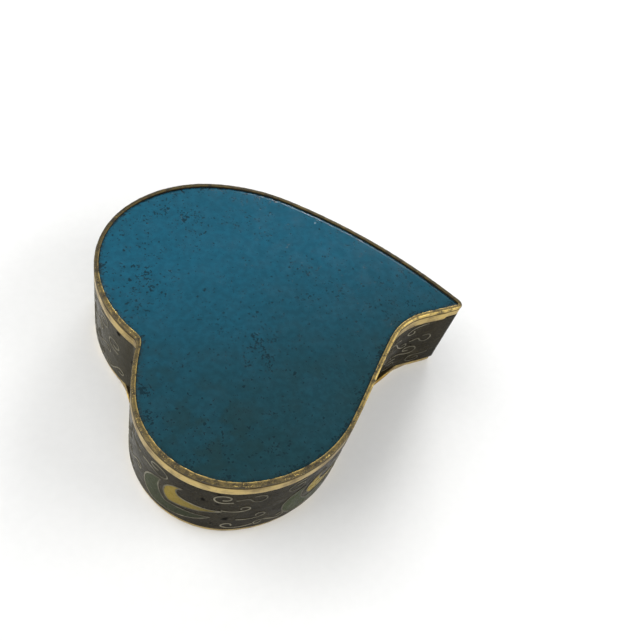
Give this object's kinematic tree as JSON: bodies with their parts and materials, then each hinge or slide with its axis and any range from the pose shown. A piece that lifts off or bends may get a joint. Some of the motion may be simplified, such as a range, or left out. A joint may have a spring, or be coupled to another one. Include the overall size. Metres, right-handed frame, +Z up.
{
  "type": "heart trinket box",
  "caption": "Heart-shaped enamelled copper trinket box with brass bands and a flat lift-off lid.",
  "frame": {"origin": "middle of the heart's footprint, on the surface the box stands on", "axes": "+Z up, out of the lid; +X towards the heart's tip; +Y towards the larger lobe"},
  "size_m": [0.0762, 0.072, 0.021],
  "materials": {
    "copper": "dull copper sheet",
    "brass_band": "polished and lightly worn",
    "worn_rim": "rubbed, rough and tarnished",
    "wire": "fine wire polished flush with the enamel",
    "lid_enamel": "glossy fired enamel with small pits",
    "inner_enamel": "glossy fired enamel",
    "ground_enamel": "glossy fired enamel, nearly black",
    "yellow_enamel": "glossy fired enamel",
    "green_enamel": "glossy fired enamel"
  },
  "bodies": {
    "base": {"base_wall": "copper", "base_floor": "copper", "foot_band": "brass_band", "mouth_band": "brass_band", "lining_enamel": "inner_enamel", "floor_enamel": "inner_enamel", "underside_enamel": "inner_enamel", "wall_enamel": "ground_enamel", "leaf_yellow": "yellow_enamel", "leaf_green": "green_enamel", "leaf_wires": "wire", "cloud_wires": "wire"},
    "lid": {"lid_rim": "worn_rim", "lid_plate": "copper", "lid_enamel": "lid_enamel", "lid_collar": "brass_band", "lid_lining": "inner_enamel"}
  },
  "joints": [
    {"name": "lid_lift", "type": "slide", "parent": "base", "child": "lid", "axis": [0, 0, 1], "range_m": [0, 0.04]}
  ]
}
